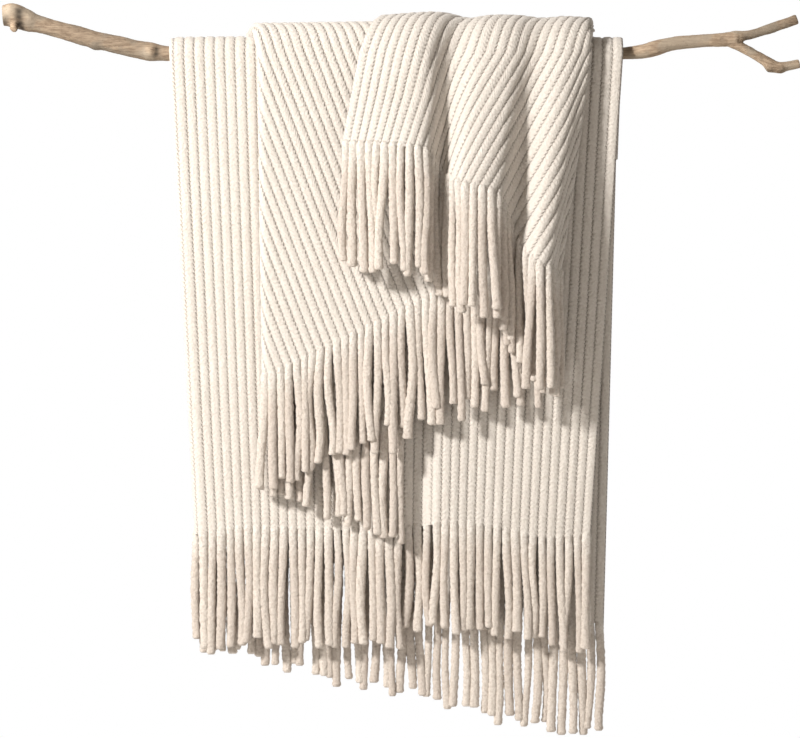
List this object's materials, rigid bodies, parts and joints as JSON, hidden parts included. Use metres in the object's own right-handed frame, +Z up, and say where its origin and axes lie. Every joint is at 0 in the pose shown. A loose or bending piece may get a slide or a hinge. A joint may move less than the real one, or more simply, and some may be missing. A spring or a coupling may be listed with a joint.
{
  "type": "chenille knit throw on a bare branch",
  "caption": "Fringed chenille knit throw, folded double and hung over a bare forked branch with both ends at the front.",
  "frame": {"origin": "centre of the branch's left cut end", "axes": "+X along the branch to the right, +Z up, and the viewer and the throw's fringed ends on the -Y side"},
  "size_m": [1.0041, 0.1556, 0.9195],
  "materials": {
    "chenille": "ivory chenille rib knit",
    "chenille_fringe": "ivory chenille cord",
    "bark": "dry tan bark"
  },
  "bodies": {
    "root": {"knit_throw": "chenille", "fringe_long_end": "chenille_fringe", "fringe_short_end": "chenille_fringe", "branch": "bark"}
  },
  "joints": []
}
